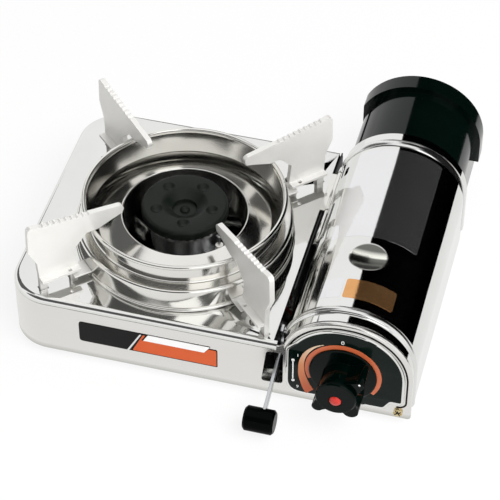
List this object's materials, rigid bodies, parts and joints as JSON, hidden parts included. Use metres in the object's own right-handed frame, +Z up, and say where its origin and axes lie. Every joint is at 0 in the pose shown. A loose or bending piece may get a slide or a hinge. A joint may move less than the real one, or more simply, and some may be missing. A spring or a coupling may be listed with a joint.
{
  "type": "butane cassette stove",
  "caption": "Stainless single-burner butane cassette stove: lift-off ring with four pan supports, hinged cartridge lid, sliding tail cap, black knob and lever",
  "frame": {"origin": "centre of the overall size on the floor, under the feet", "axes": "X is along the width, left to right seen from the knob, Y is back along the cartridge, Z is up"},
  "size_m": [0.2726, 0.2852, 0.1088],
  "materials": {
    "stainless": "mirror-polished stainless sheet",
    "satin_cast": "satin grey pan supports",
    "zinc_plate": "plated inner sheet and pins",
    "black_plastic": "glossy black moulding",
    "black_enamel": "dark enamelled burner head and panel",
    "orange_print": "orange printed arc",
    "red_plastic": "glossy red insert",
    "brass": "bright brass",
    "aluminium": "die-cast aluminium",
    "rubber": "matte black rubber",
    "ceramic": "white glazed insulator",
    "lead_jacket": "red insulated lead"
  },
  "bodies": {
    "case": {"case_shell": "stainless", "deck_plate": "stainless", "base_plate": "stainless", "rubber_feet": "rubber", "control_plate": "black_enamel", "dial_scale": "orange_print", "case_screws": "brass", "partition_wall": "zinc_plate", "cartridge_tray": "zinc_plate", "cap_rails": "black_plastic", "valve_bracket": "zinc_plate", "valve_body": "aluminium", "cartridge_seat": "brass", "seal_ring": "rubber", "locator_plate": "zinc_plate", "pressure_regulator": "aluminium", "igniter_unit": "ceramic", "igniter_lead": "lead_jacket", "electrode_insulator": "ceramic", "electrode_tip": "zinc_plate", "jet_block": "aluminium", "gas_jet": "brass", "mixing_tube": "aluminium", "burner_base": "aluminium", "port_ring": "aluminium", "burner_head": "black_enamel", "drip_dish": "stainless", "hinge_bracket": "zinc_plate", "hinge_pin": "zinc_plate", "lever_bracket": "zinc_plate", "lever_pin": "zinc_plate", "carriage_rails": "zinc_plate"},
    "knob": {"control_knob": "black_plastic", "knob_insert": "red_plastic", "valve_spindle": "zinc_plate"},
    "lid": {"cartridge_lid": "stainless"},
    "lever": {"lever_arm": "zinc_plate", "lever_knob": "black_plastic"},
    "carriage": {"cartridge_carriage": "zinc_plate"},
    "tail": {"tail_cap": "black_plastic"},
    "grate": {"wind_ring": "stainless", "pan_support_front_left": "satin_cast", "pan_support_front_right": "satin_cast", "pan_support_back_left": "satin_cast", "pan_support_back_right": "satin_cast", "support_clips": "satin_cast"}
  },
  "joints": [
    {"name": "knob_turn", "type": "hinge", "parent": "case", "child": "knob", "pos_m": [0.091, -0.1034, 0.04], "axis": [0, -1, 0], "range_deg": [-133, 17]},
    {"name": "lid_open", "type": "hinge", "parent": "case", "child": "lid", "pos_m": [0.0506, -0.0034, 0.0536], "axis": [0, -1, 0], "range_deg": [0, 52]},
    {"name": "lever_lift", "type": "hinge", "parent": "case", "child": "lever", "pos_m": [0.046, -0.0784, 0.0344], "axis": [-1, 0, 0], "range_deg": [0, 38]},
    {"name": "carriage_slide", "type": "slide", "parent": "case", "child": "carriage", "axis": [0, 1, 0], "range_m": [0, 0.0079]},
    {"name": "tail_slide", "type": "slide", "parent": "case", "child": "tail", "axis": [0, -1, 0], "range_m": [0, 0.044]},
    {"name": "grate_lift", "type": "slide", "parent": "case", "child": "grate", "axis": [0, 0, 1], "range_m": [0, 0.04]}
  ],
  "couplings": [
    {"joint": "carriage_slide", "follows": "lever_lift", "m_per_rad": 0.0118}
  ]
}
